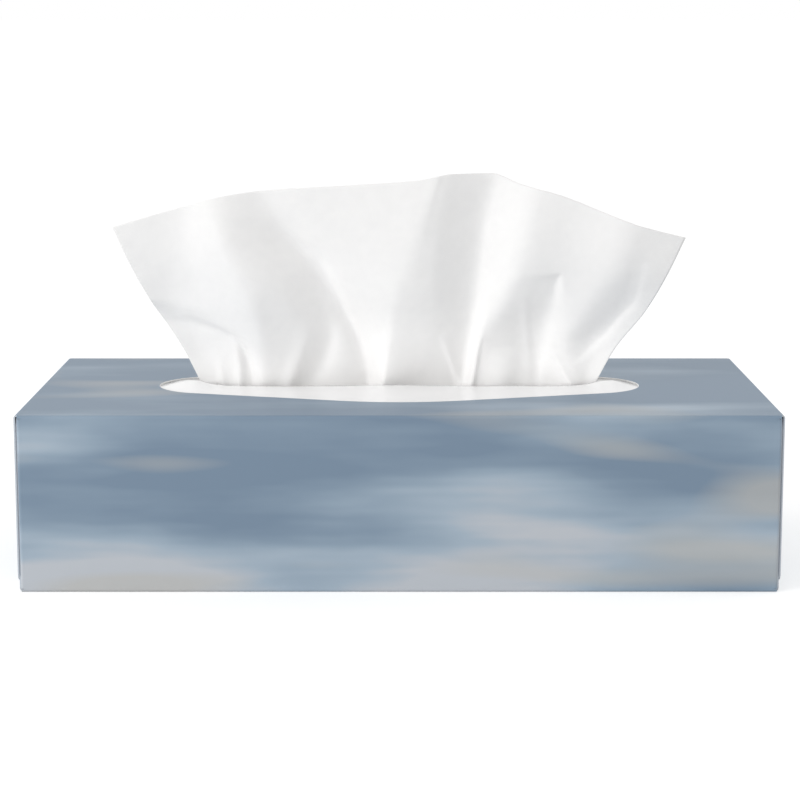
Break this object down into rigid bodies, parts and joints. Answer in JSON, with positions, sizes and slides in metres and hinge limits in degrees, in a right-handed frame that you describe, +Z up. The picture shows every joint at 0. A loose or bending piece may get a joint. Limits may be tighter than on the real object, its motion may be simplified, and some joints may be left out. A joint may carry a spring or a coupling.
{
  "type": "tissue box",
  "caption": "Low flat carton with an oval opening and a slit film window, holding folded facial tissues with one sheet pulled up through the slit and spread like a fan.",
  "frame": {"origin": "centre of the carton's underside, on the surface it stands on", "axes": "+X to the right along the carton's long side, +Y from the front panel to the back panel, +Z up"},
  "size_m": [0.23, 0.115, 0.1218],
  "materials": {
    "printed_board": "satin",
    "clear_film": "gloss",
    "tissue_paper": "matte"
  },
  "bodies": {
    "root": {"carton": "printed_board", "film_window": "clear_film", "tissue_stack": "tissue_paper", "pulled_tissue": "tissue_paper"}
  },
  "joints": []
}
